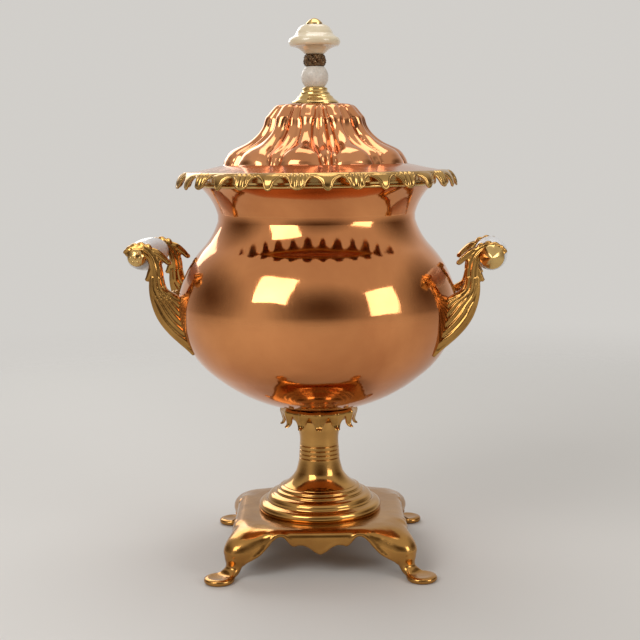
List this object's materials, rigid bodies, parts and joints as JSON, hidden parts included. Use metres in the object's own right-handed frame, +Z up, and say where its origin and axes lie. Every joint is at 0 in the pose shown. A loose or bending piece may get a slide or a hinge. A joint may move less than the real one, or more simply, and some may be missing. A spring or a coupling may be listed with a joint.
{
  "type": "samovar",
  "caption": "Footed copper hot-water urn with a lobed lift-off lid, scrolled brass handles with china grips, turned brass stem, legged foot and a tap.",
  "frame": {"origin": "on the vessel's axis, at the level of the surface that the four toes stand on", "axes": "+Z up along the vessel's axis; the handles lie roughly along X and the tap points roughly along +Y, both turned 6.6 degrees clockwise seen from above, as the vessel is on its foot in the picture"},
  "size_m": [0.334, 0.3004, 0.4698],
  "materials": {
    "vessel_copper": "mirror-polished copper",
    "lid_copper": "polished copper, a little pinker than the vessel",
    "sleeve_copper": "dull copper",
    "cast_brass": "polished cast brass",
    "light_brass": "polished turned brass",
    "plain_brass": "unpolished turned brass",
    "rod_steel": "plain steel rod",
    "core_iron": "black cast iron",
    "white_china": "white glazed china",
    "ivory_china": "cream glazed china",
    "speckled_stone": "pale grey, finely speckled",
    "dark_bronze": "blackened cast bronze",
    "fibre": "red fibre washer"
  },
  "bodies": {
    "vessel": {"base_casting": "cast_brass", "stem": "cast_brass", "stem_collar": "cast_brass", "vessel_bottom": "vessel_copper", "vessel_belly": "vessel_copper", "vessel_neck": "vessel_copper", "mouth_rim": "light_brass", "tie_rod_boss": "plain_brass", "tie_rod": "rod_steel", "tie_rod_washer": "plain_brass", "tie_rod_nut": "plain_brass", "handle_right": "cast_brass", "handle_left": "cast_brass", "grip_rod_right": "plain_brass", "grip_rod_left": "plain_brass", "grip_cap_front_right": "light_brass", "grip_cap_back_right": "light_brass", "grip_cap_front_left": "light_brass", "grip_cap_back_left": "light_brass", "handle_screws_right": "plain_brass", "handle_screws_left": "plain_brass", "tap_body": "cast_brass", "tap_escutcheon": "cast_brass", "tap_gasket": "fibre", "tap_wedge_washer": "plain_brass", "tap_shank_nut": "plain_brass", "heater_sleeve": "sleeve_copper"},
    "lid": {"lid_shell": "lid_copper", "lid_bezel": "light_brass", "lid_fringe": "cast_brass", "finial_seat": "light_brass", "finial_ball": "speckled_stone", "finial_band": "dark_bronze", "finial_knob": "ivory_china", "finial_cap_nut": "light_brass", "finial_rod": "plain_brass", "finial_washer": "plain_brass", "finial_nut": "plain_brass"},
    "heater": {"heater_core": "core_iron", "heater_cover": "light_brass"},
    "tap_key": {"tap_key": "cast_brass", "tap_key_grip": "white_china", "tap_key_pin": "light_brass", "tap_key_washer": "plain_brass", "tap_key_nut": "plain_brass"},
    "grip_right": {"grip_right": "white_china"},
    "grip_left": {"grip_left": "white_china"}
  },
  "joints": [
    {"name": "lid_lift", "type": "slide", "parent": "vessel", "child": "lid", "axis": [0, 0, 1], "range_m": [0, 0.12]},
    {"name": "heater_lift", "type": "slide", "parent": "vessel", "child": "heater", "axis": [0, 0, 1], "range_m": [0, 0.045]},
    {"name": "tap_turn", "type": "hinge", "parent": "vessel", "child": "tap_key", "pos_m": [0.01586, 0.13709, 0.18], "axis": [0, 0, 1], "range_deg": [0, 90]},
    {"name": "grip_turn_right", "type": "hinge", "parent": "vessel", "child": "grip_right", "pos_m": [0.15, -0.01736, 0.2682], "axis": [0.1149, 0.9934, 0], "continuous": true},
    {"name": "grip_turn_left", "type": "hinge", "parent": "vessel", "child": "grip_left", "pos_m": [-0.15, 0.01736, 0.2682], "axis": [0.1149, 0.9934, 0], "continuous": true}
  ]
}
